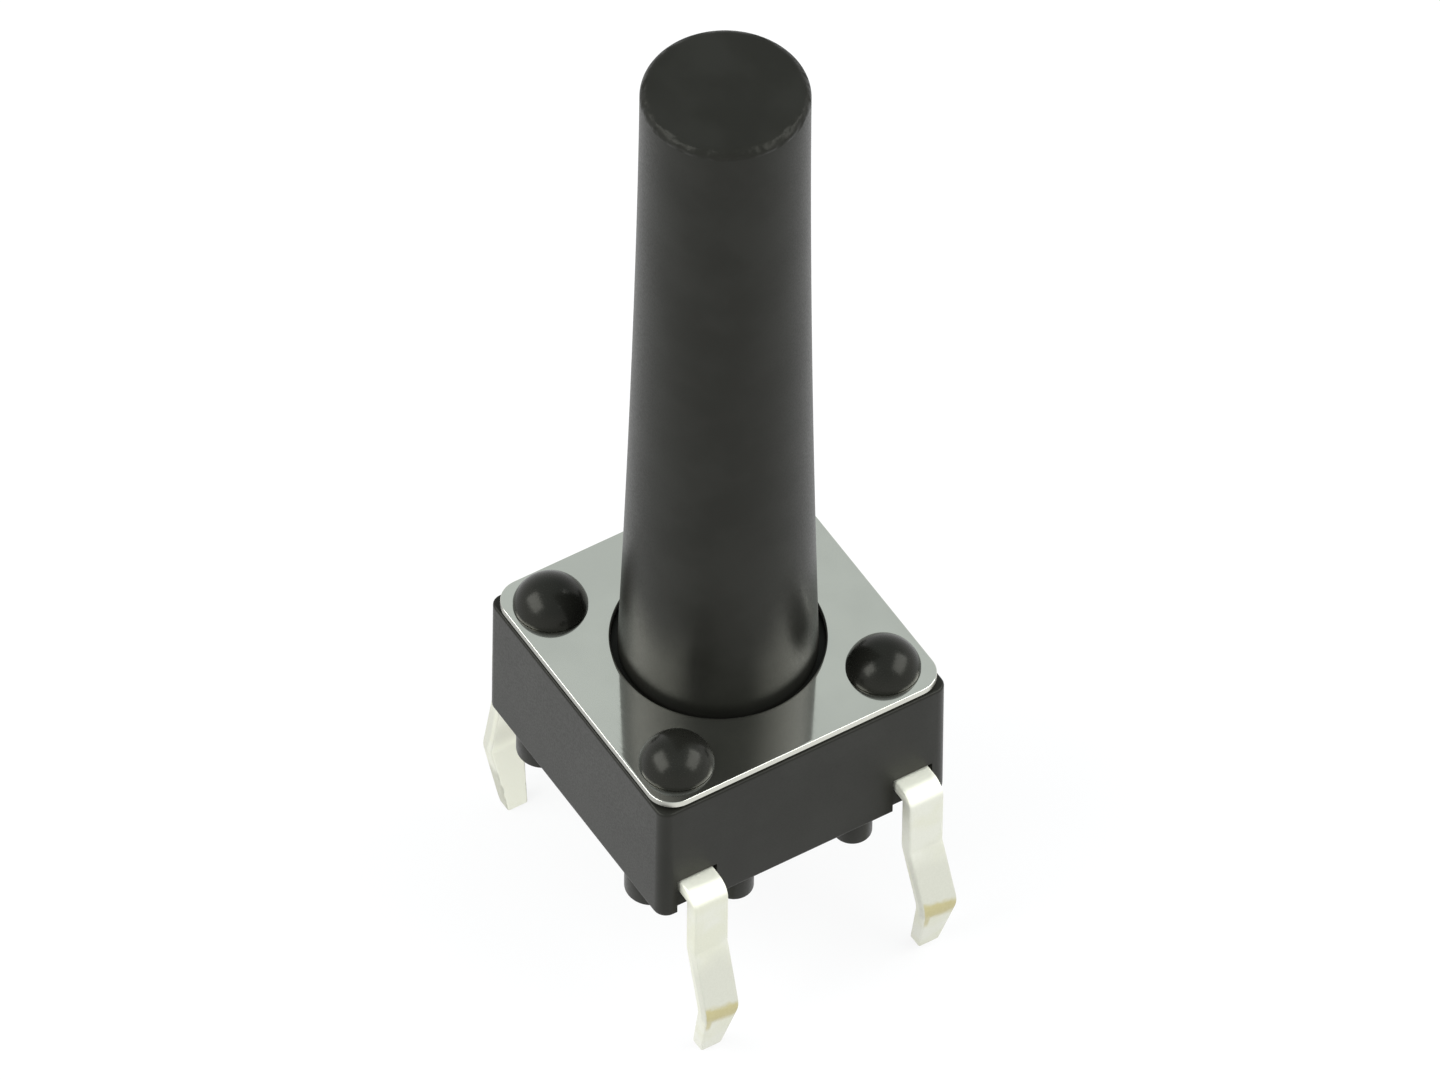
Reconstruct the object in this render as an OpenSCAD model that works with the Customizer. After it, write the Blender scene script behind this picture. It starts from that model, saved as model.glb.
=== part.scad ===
// Through-hole tactile push button switch with a tall plunger.
// Origin at the centre of the pin pattern on the board's surface, +Z up along the plunger's travel.
// X runs across the two rows of pins, Y along a row.

/* [Base moulding] */
// Side of the square base at its foot line
base_w = 6; // [5.9:0.05:7]
// Height of the plastic from its foot line to the cover's seat
base_h = 2.78; // [2.6:0.01:3.6]
// How far each wall leans in from the foot line to the top
wall_draft = 0.02; // [0:0.01:0.06]
// Radius of the base's vertical corners
base_corner_r = 0.25; // [0.15:0.05:0.45]
// Radius of the base's top and bottom edges
base_edge_r = 0.05; // [0.02:0.01:0.08]
// Thickness of the wall between a side and the round cavity that holds the dome and the flange
cavity_wall = 0.7; // [0.6:0.01:0.8]
// Plastic left over the lead frames at the cavity's floor
floor_cover = 0.1; // [0.06:0.01:0.16]
// Diameter of the gate recess in the underside
gate_recess_d = 1.6; // [1:0.1:2.4]
// Depth of the gate recess
gate_recess_depth = 0.15; // [0.05:0.05:0.25]

/* [Feet] */
// Height of the feet, which hold the base off the board
foot_h = 0.5; // [0.3:0.05:0.8]
// Diameter of the small feet beside the pins
small_foot_d = 0.72; // [0.5:0.02:0.9]
// Distance of a small foot's centre from the wall that the pins leave
small_foot_inset = 0.39; // [0.37:0.01:0.6]
// Distance of a small foot's centre from the middle of the pin beside it
small_foot_from_pin = 1.01; // [0.9:0.01:1.3]
// Diameter of the large feet along the plain walls
large_foot_d = 0.92; // [0.6:0.02:1]
// Distance of a large foot's centre from the plain wall
large_foot_inset = 0.5; // [0.48:0.01:0.6]
// Distance of a large foot's centre from the wall that the pins leave
large_foot_from_corner = 1.14; // [1.05:0.01:1.5]
// Chamfer round the underside of a foot
foot_chamfer = 0.05; // [0.02:0.01:0.1]

/* [Staked posts] */
// Distance of each post's centre from both walls of its corner
post_inset = 0.85; // [0.75:0.01:0.95]
// Diameter of a post where it passes through the cover
post_d = 0.9; // [0.6:0.05:1]
// Diameter of a staked head on the cover
head_d = 1.32; // [1.2:0.01:1.45]
// Height of a staked head above the cover
head_h = 0.56; // [0.3:0.02:0.6]

/* [Cover plate] */
// Thickness of the cover plate
cover_t = 0.2; // [0.15:0.01:0.35]
// Ledge of the base that shows round the cover
cover_inset = 0.07; // [0.05:0.01:0.2]
// Radius of the cover's corners
cover_corner_r = 0.5; // [0.4:0.05:0.9]
// Radius that the press leaves round the cover's upper edge
cover_edge_r = 0.05; // [0.02:0.01:0.1]
// Radial clearance between the stem and the cover's centre hole
stem_clear = 0.135; // [0.08:0.005:0.2]
// Radial clearance between a post and its hole in the cover
post_clear = 0.05; // [0.02:0.01:0.1]

/* [Plunger] */
// Height of the plunger's tip above the board
overall_h = 18; // [9:0.5:20]
// How much thinner the stem's radius is at its tip than at the cover
stem_taper = 0.305; // [0.1:0.005:0.5]
// How strongly the stem's side curves in: 1 is a straight cone
taper_power = 1.6; // [1:0.1:2.2]
// Radius of the edge round the tip
tip_edge_r = 0.15; // [0.05:0.01:0.3]
// Thickness of the flange under the cover
flange_t = 0.6; // [0.4:0.05:0.8]
// How far the flange stands out round the stem
flange_lip = 0.46; // [0.35:0.01:0.6]
// Radial running clearance of the flange in the cavity
flange_clear = 0.05; // [0.03:0.01:0.1]
// Play between the flange and the cover at rest
flange_play = 0.02; // [0.01:0.01:0.05]
// Diameter of the nub that presses the dome
nub_d = 1.6; // [1:0.1:2.2]
// Radius of the nub's edge
nub_edge_r = 0.15; // [0.05:0.05:0.3]
// Play between the nub and the dome at rest
nub_play = 0.02; // [0.01:0.01:0.05]
// Travel of the plunger until the contact closes
travel = 0.25; // [0.15:0.05:0.35]

/* [Snap dome] */
// Thickness of the dome's sheet
dome_t = 0.08; // [0.05:0.01:0.1]
// Radial clearance between the dome's rim and the cavity
dome_clear = 0.1; // [0.05:0.01:0.15]

/* [Lead frames] */
// Thickness of the lead frame sheet
sheet_t = 0.3; // [0.2:0.01:0.35]
// Width of a pin and of the strip that it grows from
pin_w = 0.7; // [0.5:0.05:0.8]
// Distance of a pin's middle from the plain wall beside it
pin_inset = 0.75; // [0.7:0.01:0.85]
// Height of the sheet's underside above the base's foot line
sheet_lift = 0.5; // [0.35:0.05:0.6]
// Gap between the wall and a pin's upright leg
leg_gap = 0.2; // [0.12:0.01:0.4]
// Inside radius of the bend at the wall
bend_r = 0.08; // [0.04:0.01:0.12]
// Depth below the board at which the kink starts
kink_start = 0.22; // [0.1:0.02:0.5]
// Depth of the kink's knee below the board
knee_depth = 1.56; // [1.2:0.02:1.8]
// How far the knee stands out from the upright leg
knee_out = 0.375; // [0.2:0.025:0.5]
// Inside radius of the knee
knee_r = 0.25; // [0.1:0.05:0.4]
// Depth of a pin's tip below the board
tip_depth = 2.9; // [2.6:0.05:3.4]
// How far the tip stands in from the upright leg
tip_in = 0.01; // [0:0.01:0.2]
// Width of a pin at its tip
pin_tip_w = 0.42; // [0.3:0.02:0.5]
// Chamfer of the two corners of a pin's tip
pin_tip_chamfer = 0.06; // [0.02:0.02:0.1]
// Side clearance of the notch in the wall round a pin
notch_clear = 0.06; // [0.04:0.01:0.12]
// Depth of that notch
notch_depth = 0.15; // [0.08:0.01:0.3]
// Height of the outer pads above the cavity's floor
pad_proud = 0.05; // [0.03:0.01:0.1]
// Diameter of an outer pad
pad_d = 0.56; // [0.4:0.02:0.6]
// Gap between the outer pads and the cavity's wall
pad_edge = 0.04; // [0.02:0.01:0.08]
// Width of the arms that carry the outer pads
arm_w = 0.6; // [0.56:0.02:0.7]
// Height of the centre contact above the outer pads
centre_step = 0.12; // [0.08:0.01:0.16]
// Diameter of the centre contact
centre_contact_d = 1; // [0.6:0.1:1.2]
// Diameter of the sheet under the centre contact
centre_disc_d = 1.3; // [1.2:0.1:1.5]
// Width of the arm that carries the centre contact
centre_arm_w = 0.8; // [0.6:0.05:1]
// Gap between the two lead frames where an arm ends
frame_gap = 0.2; // [0.15:0.01:0.3]

/* [Hidden] */
$fn = 48;
// Bands that the plunger's curved side is turned in
SIDE_BANDS = 18;
// Steps in a bend of the sheet and in the plunger's rounded edges
BEND_STEPS = 8;
// Steps in the small radius along an edge of the base or the cover
EDGE_STEPS = 4;
// Sides of a coined contact, which is seated in the plastic with flat walls
COIN_SIDES = 12;
// Overlap of joined shapes, and how far a cut runs past a face
CUT = 0.5;

half_w = base_w / 2;
cavity_d = base_w - 2 * cavity_wall;
base_top = foot_h + base_h;
cover_top = base_top + cover_t;
cover_w = base_w - 2 * cover_inset;
flange_d = cavity_d - 2 * flange_clear;
stem_root_d = flange_d - 2 * flange_lip;
stem_tip_d = stem_root_d - 2 * stem_taper;
cover_hole_d = stem_root_d + 2 * stem_clear;
post_at = half_w - post_inset;
sheet_z = foot_h + sheet_lift;
sheet_top = sheet_z + sheet_t;
floor_z = sheet_top + floor_cover;
pad_top = floor_z + pad_proud;
centre_top = pad_top + centre_step;
dome_rise = centre_step + travel + dome_t;
dome_r = cavity_d / 2 - dome_clear;
dome_top = pad_top + dome_rise;
dome_outer_r = (dome_r * dome_r + dome_rise * dome_rise) / (2 * dome_rise);
flange_top = base_top - flange_play;
flange_z = flange_top - flange_t;
nub_z = dome_top + nub_play;
stem_h = overall_h - cover_top;
row_y = half_w - pin_inset;
small_foot_y = row_y - small_foot_from_pin;
large_foot_x = half_w - large_foot_from_corner;
strip_inner_y = row_y - pin_w / 2;
pad_at = (cavity_d / 2 - pad_edge - pad_d / 2) * cos(45);
leg_x = half_w + leg_gap + sheet_t / 2;
SIGNS = [-1, 1];

// One thing at each of four corners
module at_corners(x, y) {
    for (sx = SIGNS, sy = SIGNS)
        translate([sx * x, sy * y, 0])
            children();
}

// A slab along Y whose two sides follow an edge profile
module edged_slab(w, length, edge) {
    rotate([90, 0, 0])
        linear_extrude(length, center = true)
            polygon(concat(
                [for (e = edge) [w / 2 - e[0], e[1]]],
                [for (i = [len(edge) - 1:-1:0]) [-w / 2 + edge[i][0], edge[i][1]]]
            ));
}

// A square block with rounded corners whose sides follow an edge profile all round.
// Each point of the profile is how far the side stands in and at what height.
module edged_block(w, r, edge) {
    edged_slab(w, w - 2 * r, edge);
    rotate([0, 0, 90])
        edged_slab(w, w - 2 * r, edge);
    at_corners(w / 2 - r, w / 2 - r)
        rotate_extrude()
            polygon(concat(
                [[0, edge[0][1]]],
                [for (e = edge) [r - e[0], e[1]]],
                [[0, edge[len(edge) - 1][1]]]
            ));
}

// The base's block: rounded corners upright, drafted walls, a small radius at top and bottom
module base_block() {
    edged_block(base_w, base_corner_r, concat(
        arc([base_edge_r, foot_h + base_edge_r], base_edge_r, 270, 180, EDGE_STEPS),
        arc([wall_draft + base_edge_r, base_top - base_edge_r], base_edge_r, 180, 90, EDGE_STEPS)
    ));
}

// A foot, chamfered where it stands on the board
module foot(d) {
    translate([0, 0, foot_chamfer])
        cylinder(h = foot_h - foot_chamfer + CUT, d = d);
    cylinder(h = foot_chamfer, d1 = d - 2 * foot_chamfer, d2 = d);
}

// A post and its staked head, a part of a ball whose rim lies on the cover
module staked_post() {
    ball_r = (head_d * head_d / 4 + head_h * head_h) / (2 * head_h);
    translate([0, 0, base_top - CUT])
        cylinder(h = CUT + cover_t, d = post_d);
    translate([0, 0, cover_top])
        rotate_extrude()
            intersection() {
                translate([0, head_h - ball_r])
                    circle(ball_r);
                square([head_d, head_h + CUT]);
            }
}

// Points of an arc from angle a0 to a1
function arc(c, r, a0, a1, steps = BEND_STEPS) = [
    for (i = [0:steps])
        let (a = a0 + (a1 - a0) * i / steps)
        c + r * [cos(a), sin(a)]
];

function unit(v) = v / norm(v);

// Unit vector a quarter turn to the left of v
function left_of(v) = [-v[1], v[0]];

// An arc of radius r that rounds the corner b of the path a, b, c
function rounded_corner(a, b, c, r) =
    let (
        u = unit(b - a),
        v = unit(c - b),
        turn = u[0] * v[1] - u[1] * v[0],
        side = turn > 0 ? 1 : -1,
        half = acos(u * v) / 2,
        start = b - u * r * tan(half),
        centre = start + side * r * left_of(u),
        a0 = atan2((start - centre)[1], (start - centre)[0])
    )
    arc(centre, r, a0, a0 + side * 2 * half);

// A point of a path moved sideways by d, kept parallel to both of its neighbours
function shifted(path, i, d) =
    let (
        last = len(path) - 1,
        u = unit(path[min(i + 1, last)] - path[min(i, last - 1)]),
        v = unit(path[max(i, 1)] - path[max(i - 1, 0)]),
        m = unit(left_of(u) + left_of(v))
    )
    path[i] + m * d / (m * left_of(u));

// The outline of a sheet of thickness t bent along a path
function bent_sheet(path, t) = concat(
    [for (i = [0:len(path) - 1]) shifted(path, i, t / 2)],
    [for (i = [len(path) - 1:-1:0]) shifted(path, i, -t / 2)]
);

// Middle line of one pin, from the strip over the wall's bend and the knee past the tip
function pin_path() =
    let (
        mid_z = sheet_z + sheet_t / 2,
        p = [
            [0, mid_z],
            [leg_x, mid_z],
            [leg_x, -kink_start],
            [leg_x + knee_out, -knee_depth],
            [leg_x - tip_in, -tip_depth]
        ]
    )
    concat(
        [p[0]],
        rounded_corner(p[0], p[1], p[2], bend_r + sheet_t / 2),
        rounded_corner(p[1], p[2], p[3], knee_r + sheet_t / 2),
        rounded_corner(p[2], p[3], p[4], knee_r + sheet_t / 2),
        [p[4] + CUT * unit(p[4] - p[3])]
    );

// Front outline of a pin: full width down to the knee, narrower towards the tip, cut off level
module pin_front() {
    polygon([
        [-pin_w / 2, sheet_top + CUT],
        [-pin_w / 2, -knee_depth],
        [-pin_tip_w / 2, -tip_depth + pin_tip_chamfer],
        [-pin_tip_w / 2 + pin_tip_chamfer, -tip_depth],
        [pin_tip_w / 2 - pin_tip_chamfer, -tip_depth],
        [pin_tip_w / 2, -tip_depth + pin_tip_chamfer],
        [pin_w / 2, -knee_depth],
        [pin_w / 2, sheet_top + CUT]
    ]);
}

// Half a strip with its pin, along +X
module pin_half() {
    intersection() {
        rotate([90, 0, 0])
            linear_extrude(pin_w, center = true)
                polygon(bent_sheet(pin_path(), sheet_t));
        rotate([90, 0, 90])
            linear_extrude(base_w + 2 * (leg_gap + knee_out))
                pin_front();
    }
}

// The strip that joins two opposite pins
module strip_with_pins() {
    pin_half();
    mirror([1, 0, 0])
        pin_half();
}

// A flat piece of the lead frame's sheet from one corner to the other
module sheet_piece(x0, y0, x1, y1) {
    translate([x0, y0, sheet_z])
        cube([x1 - x0, y1 - y0, sheet_t]);
}

// A contact coined up from the sheet to height z1
module coined_contact(d, z1) {
    translate([0, 0, sheet_z])
        cylinder(h = z1 - sheet_z, d = d, $fn = COIN_SIDES);
}

// Lead frame of the centre contact: the strip at -Y and an arm to the middle
module terminal_centre_shape() {
    translate([0, -row_y, 0])
        strip_with_pins();
    sheet_piece(-centre_arm_w / 2, -row_y, centre_arm_w / 2, 0);
    coined_contact(centre_disc_d, sheet_top);
    coined_contact(centre_contact_d, centre_top);
}

// Lead frame of the four outer pads: the strip at +Y and two arms beside the centre contact
module terminal_outer_shape() {
    translate([0, row_y, 0])
        strip_with_pins();
    for (sx = SIGNS)
        sheet_piece(
            sx * pad_at - arm_w / 2, -strip_inner_y + frame_gap,
            sx * pad_at + arm_w / 2, row_y
        );
    at_corners(pad_at, pad_at)
        coined_contact(pad_d, pad_top);
}

// The notch that keeps the wall's plastic clear of a pin
module pin_notch() {
    notch_w = pin_w + 2 * notch_clear;
    translate([half_w - notch_depth, -notch_w / 2, foot_h - CUT])
        cube([notch_depth + CUT, notch_w, sheet_top + notch_clear - foot_h + CUT]);
}

module base() {
    color([0.2, 0.2, 0.19])
        difference() {
            union() {
                base_block();
                at_corners(half_w - small_foot_inset, small_foot_y)
                    foot(small_foot_d);
                at_corners(large_foot_x, half_w - large_foot_inset)
                    foot(large_foot_d);
                at_corners(post_at, post_at)
                    staked_post();
            }
            translate([0, 0, floor_z])
                cylinder(h = base_h, d = cavity_d);
            translate([0, 0, foot_h - CUT])
                cylinder(h = CUT + gate_recess_depth, d = gate_recess_d);
            for (sy = SIGNS) {
                translate([0, sy * row_y, 0])
                    pin_notch();
                translate([0, sy * row_y, 0])
                    mirror([1, 0, 0])
                        pin_notch();
            }
            terminal_centre_shape();
            terminal_outer_shape();
        }
}

module cover() {
    color([0.72, 0.72, 0.7])
        translate([0, 0, base_top])
            difference() {
                edged_block(cover_w, cover_corner_r, concat(
                    [[0, 0]],
                    arc([cover_edge_r, cover_t - cover_edge_r], cover_edge_r, 180, 90, EDGE_STEPS)
                ));
                translate([0, 0, -CUT])
                    cylinder(h = cover_t + 2 * CUT, d = cover_hole_d);
                translate([0, 0, -CUT])
                    at_corners(post_at, post_at)
                        cylinder(h = cover_t + 2 * CUT, d = post_d + 2 * post_clear);
            }
}

// Radius of the stem at height h above the cover
function stem_r(h) =
    (stem_tip_d + (stem_root_d - stem_tip_d) * pow(1 - h / stem_h, taper_power)) / 2;

module plunger() {
    side_h = stem_h - tip_edge_r;
    side = [
        for (i = [0:SIDE_BANDS])
            let (h = side_h * i / SIDE_BANDS)
            [stem_r(h), cover_top + h]
    ];
    tip_r = stem_r(side_h);
    tip = arc([tip_r - tip_edge_r, overall_h - tip_edge_r], tip_edge_r, 0, 90);
    nub = arc([nub_d / 2 - nub_edge_r, nub_z + nub_edge_r], nub_edge_r, -90, 0);
    color([0.17, 0.17, 0.16])
        rotate_extrude()
            polygon(concat(
                [[0, nub_z]],
                nub,
                [[nub_d / 2, flange_z], [flange_d / 2, flange_z], [flange_d / 2, flange_top]],
                [[stem_root_d / 2, flange_top]],
                side,
                [for (i = [1:BEND_STEPS]) tip[i]],
                [[0, overall_h]]
            ));
}

module contact_dome() {
    color([0.78, 0.77, 0.74])
        translate([0, 0, pad_top])
            rotate_extrude()
                intersection() {
                    translate([0, dome_rise - dome_outer_r])
                        difference() {
                            circle(dome_outer_r, $fn = 256);
                            circle(dome_outer_r - dome_t, $fn = 256);
                        }
                    square([dome_r, dome_rise]);
                }
}

module terminal_centre() {
    color([0.86, 0.86, 0.8])
        terminal_centre_shape();
}

module terminal_outer() {
    color([0.86, 0.86, 0.8])
        terminal_outer_shape();
}

base();
cover();
plunger();
contact_dome();
terminal_centre();
terminal_outer();
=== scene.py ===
"""Looks of a through-hole tactile push button switch with a tall plunger.

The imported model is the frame, and it gives the main sizes. Each piece is a surface worked out with numpy
in millimetres: a stack of closed outlines, a turned profile, or a section carried along a path.
"""
import logging
from dataclasses import dataclass
from enum import Enum
from math import acos, atan2, cos, hypot, inf, pi, radians, sin, tan

import bmesh
import bpy
import numpy as np
from mathutils import Matrix, Vector


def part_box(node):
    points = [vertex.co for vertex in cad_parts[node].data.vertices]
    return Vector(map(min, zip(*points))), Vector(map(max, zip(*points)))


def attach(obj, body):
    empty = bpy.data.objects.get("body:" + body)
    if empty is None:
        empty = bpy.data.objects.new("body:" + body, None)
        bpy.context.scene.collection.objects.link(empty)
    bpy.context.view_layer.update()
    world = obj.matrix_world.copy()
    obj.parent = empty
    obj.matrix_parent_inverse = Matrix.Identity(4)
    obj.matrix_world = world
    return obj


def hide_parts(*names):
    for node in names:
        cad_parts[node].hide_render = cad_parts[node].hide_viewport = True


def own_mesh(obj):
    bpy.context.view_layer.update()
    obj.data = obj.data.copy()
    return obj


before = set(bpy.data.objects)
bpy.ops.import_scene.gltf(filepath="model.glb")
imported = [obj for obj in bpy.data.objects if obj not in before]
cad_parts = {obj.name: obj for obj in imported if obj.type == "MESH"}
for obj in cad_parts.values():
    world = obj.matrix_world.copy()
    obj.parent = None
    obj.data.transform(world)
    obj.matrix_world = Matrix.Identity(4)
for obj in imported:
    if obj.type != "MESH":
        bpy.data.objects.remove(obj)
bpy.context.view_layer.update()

log = logging.getLogger("switch")

Colour = tuple[float, float, float]
Place = tuple[float, float, float]
Piece = bpy.types.Object
Socket = bpy.types.NodeSocket

MM = 0.001
BORDER = 0.03  # width in millimetres of the border that keeps a flat face flat beside its rounded edge
BREAK = 0.02  # width in millimetres of an edge that is only just broken
BURIED = 0.3  # depth in millimetres by which an added surface reaches into its piece
MERGED = 1e-4 * MM  # distance in metres below which two points are one
MIDDLE_Z = 6.5  # height in millimetres that the camera and the lamps look at
CLOUDS = (0.35, 0.65)  # range of a noise that clouds a colour
GRAIN = (0.3, 0.7)  # range of a noise that spreads the roughness
QUARTER = pi / 2
TURN = 2 * pi
CORNERS = np.array([[1, 1], [-1, 1], [-1, -1], [1, -1]])  # signs of X and Y, round a square


# Surfaces

class Ends(Enum):
    """How a stack of outlines is finished at its first and last one."""

    FLAT = "a flat face closes each end"
    RING = "the last outline joins the first"


@dataclass
class Surface:
    """Points in millimetres and the faces between them."""

    points: np.ndarray
    faces: list[list[int]]

    def __add__(self, other: "Surface") -> "Surface":
        """Joins two surfaces into one.

        Args:
            other: The surface that is added.

        Returns:
            Both surfaces as one.
        """
        shift = len(self.points)
        moved = [[index + shift for index in face] for face in other.faces]
        return Surface(np.vstack([self.points, other.points]), self.faces + moved)

    def moved(self, x: float, y: float, z: float = 0.0) -> "Surface":
        """Returns the surface shifted along the three axes."""
        return Surface(self.points + np.array([x, y, z]), self.faces)

    def mirrored(self, x: int, y: int) -> "Surface":
        """Returns the surface with X and Y multiplied by 1 or -1."""
        return Surface(self.points * np.array([x, y, 1]), self.faces)

    def at_corners(self, x: float, y: float) -> "Surface":
        """Repeats the surface at four corners.

        Args:
            x: Shift of the first copy along X.
            y: Shift of the first copy along Y.

        Returns:
            The first copy and its mirror images, as one surface.
        """
        placed = self.moved(x, y)
        whole = placed
        for sign_x, sign_y in CORNERS[1:]:
            whole = whole + placed.mirrored(sign_x, sign_y)
        return whole


def skin(outlines: np.ndarray, ends: Ends = Ends.FLAT) -> Surface:
    """Joins closed outlines of equal length into one closed surface.

    Point j of outline i is joined to its neighbours j + 1 and i + 1, counted round the outline.

    Args:
        outlines: Array of (outline, point, xyz) in millimetres.
        ends: How the first and the last outline are finished.

    Returns:
        The closed surface.
    """
    rows, count, _ = outlines.shape
    index = np.arange(rows * count).reshape(rows, count)
    after = np.roll(index, -1, axis=1)
    if ends is Ends.RING:
        upper, upper_after = np.roll(index, -1, axis=0), np.roll(after, -1, axis=0)
        quads = np.stack([index, after, upper_after, upper], axis=-1)
        return Surface(outlines.reshape(-1, 3), quads.reshape(-1, 4).tolist())
    quads = np.stack([index[:-1], after[:-1], after[1:], index[1:]], axis=-1)
    faces = quads.reshape(-1, 4).tolist()
    return Surface(outlines.reshape(-1, 3), faces + [index[0][::-1].tolist(), index[-1].tolist()])


def turned(profile: np.ndarray, steps: int) -> Surface:
    """Turns a profile of (radius, height) about Z.

    The point at angle a is (r cos a, r sin a, z). Points without a radius fall together, and are merged
    later.

    Args:
        profile: Array of (radius, height), from one end of the axis to the other.
        steps: Number of steps in the full turn.

    Returns:
        The closed surface.
    """
    angle = np.arange(steps) * TURN / steps
    ring = np.stack([np.cos(angle), np.sin(angle)], axis=-1)
    plane = profile[:, None, :1] * ring[None]
    height = np.broadcast_to(profile[:, None, 1:], plane.shape[:2] + (1,))
    return skin(np.concatenate([plane, height], axis=-1))


def arc(centre: tuple[float, float], radius: float, start: float, end: float, steps: int) -> np.ndarray:
    """Returns the points of an arc between two angles in radians, both ends included."""
    angle = np.linspace(start, end, steps + 1)
    return np.stack([centre[0] + radius * np.cos(angle), centre[1] + radius * np.sin(angle)], axis=-1)


def square_outline(half: float, radius: float, side_steps: int = 20, corner_steps: int = 6) -> np.ndarray:
    """Outline of a square with rounded corners, as evenly seen from its centre as possible.

    A side's points are half * (1, tan a) at even angles a, and a corner is an arc about its own centre.

    Args:
        half: Half of the square's side.
        radius: Radius of its corners.
        side_steps: Steps along a side.
        corner_steps: Steps round a corner.

    Returns:
        Array of (point, xy), counted to the left from the middle of a corner's end.
    """
    reach = atan2(half - radius, half)
    side_angle = np.linspace(-reach, reach, side_steps + 1)
    side = np.stack([np.full_like(side_angle, half), half * np.tan(side_angle)], axis=-1)
    corner = arc((half - radius, half - radius), radius, 0, QUARTER, corner_steps)[1:-1]
    part = np.concatenate([side, corner])
    turns = [np.array([[cos(a), sin(a)], [-sin(a), cos(a)]]) for a in np.arange(4) * QUARTER]
    return np.concatenate([part @ turn for turn in turns])


def round_outline(radius: float, like: np.ndarray) -> np.ndarray:
    """Circle whose points stand at the same angles as those of another outline."""
    return radius * like / np.linalg.norm(like, axis=1, keepdims=True)


def raised(outline: np.ndarray, z: float) -> np.ndarray:
    """Returns a flat outline of (point, xy) as (point, xyz) at height z."""
    return np.column_stack([outline, np.full(len(outline), z)])


def rounded_wall(half: float, radius: float, edge: float, profile: np.ndarray,
                 steps: tuple[int, int] = (20, 6)) -> list[np.ndarray]:
    """Outlines of a square wall with rounded corners, one for each point of its profile.

    Args:
        half: Half of the square's side.
        radius: Radius of its corners where nothing is inset.
        edge: Inset past which the corners' radius shrinks no further.
        profile: Array of (inset, height).
        steps: Steps along a side and round a corner.

    Returns:
        The outlines, as arrays of (point, xyz).
    """
    return [
        raised(square_outline(half - inset, radius - min(inset, edge), *steps), z) for inset, z in profile
    ]


def rounded_path(corners: list[tuple[float, float]], radii: list[float], steps: int) -> np.ndarray:
    """Path through straight stretches with an arc of the given radius at each inner corner.

    Args:
        corners: Points of the sharp path.
        radii: Radius of the arc at each inner point.
        steps: Steps in each arc.

    Returns:
        Array of (point, 2).
    """
    pieces = [np.array([corners[0]])]
    for before, corner, after, radius in zip(corners, corners[1:], corners[2:], radii):
        came, goes = np.subtract(corner, before), np.subtract(after, corner)
        came, goes = came / hypot(*came), goes / hypot(*goes)
        side = 1 if came[0] * goes[1] - came[1] * goes[0] > 0 else -1
        half = acos(float(np.clip(came @ goes, -1, 1))) / 2
        start = np.array(corner) - came * radius * tan(half)
        centre = start + side * radius * np.array([-came[1], came[0]])
        first = atan2(*(start - centre)[::-1])
        pieces.append(arc(tuple(centre), radius, first, first + side * 2 * half, steps))
    pieces.append(np.array([corners[-1]]))
    return np.concatenate(pieces)


# Pieces in Blender

def shown(name: str, data: bpy.types.ID) -> Piece:
    """Puts a new object into the scene.

    Args:
        name: The object's name.
        data: Its mesh, lamp or camera.

    Returns:
        The object.
    """
    made = bpy.data.objects.new(name, data)
    bpy.context.scene.collection.objects.link(made)
    return made


def new_piece(name: str, surface: Surface, sharp_above: float = 35.0) -> Piece:
    """Makes a mesh object from a surface, with merged points and faces that point outwards.

    Args:
        name: The object's name.
        surface: The closed surface, in millimetres.
        sharp_above: Angle in degrees past which an edge is shown sharp.

    Returns:
        The object, at the origin.
    """
    mesh = bpy.data.meshes.new(name)
    mesh.from_pydata((surface.points * MM).tolist(), [], surface.faces)
    piece = shown(name, mesh)
    dress(piece, sharp_above)
    return piece


def dress(piece: Piece, sharp_above: float) -> None:
    """Cleans a piece's mesh and shades it smooth up to an angle in degrees.

    Equal points become one, faces without area go, and a face of five or more sides is split into
    triangles that have some area.

    Args:
        piece: The piece whose mesh is cleaned.
        sharp_above: Angle past which an edge is shown sharp.
    """
    work = bmesh.new()
    work.from_mesh(piece.data)
    bmesh.ops.remove_doubles(work, verts=work.verts, dist=MERGED)
    bmesh.ops.dissolve_degenerate(work, edges=work.edges, dist=MERGED)
    many_sided = [face for face in work.faces if len(face.verts) > 4]
    bmesh.ops.triangulate(work, faces=many_sided, ngon_method="BEAUTY")
    bmesh.ops.recalc_face_normals(work, faces=work.faces)
    work.to_mesh(piece.data)
    work.free()
    piece.data.shade_smooth()
    piece.data.set_sharp_from_angle(angle=radians(sharp_above))


class Join(Enum):
    """What is done to a piece with another surface."""

    ADD = "UNION"
    CUT = "DIFFERENCE"


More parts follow.
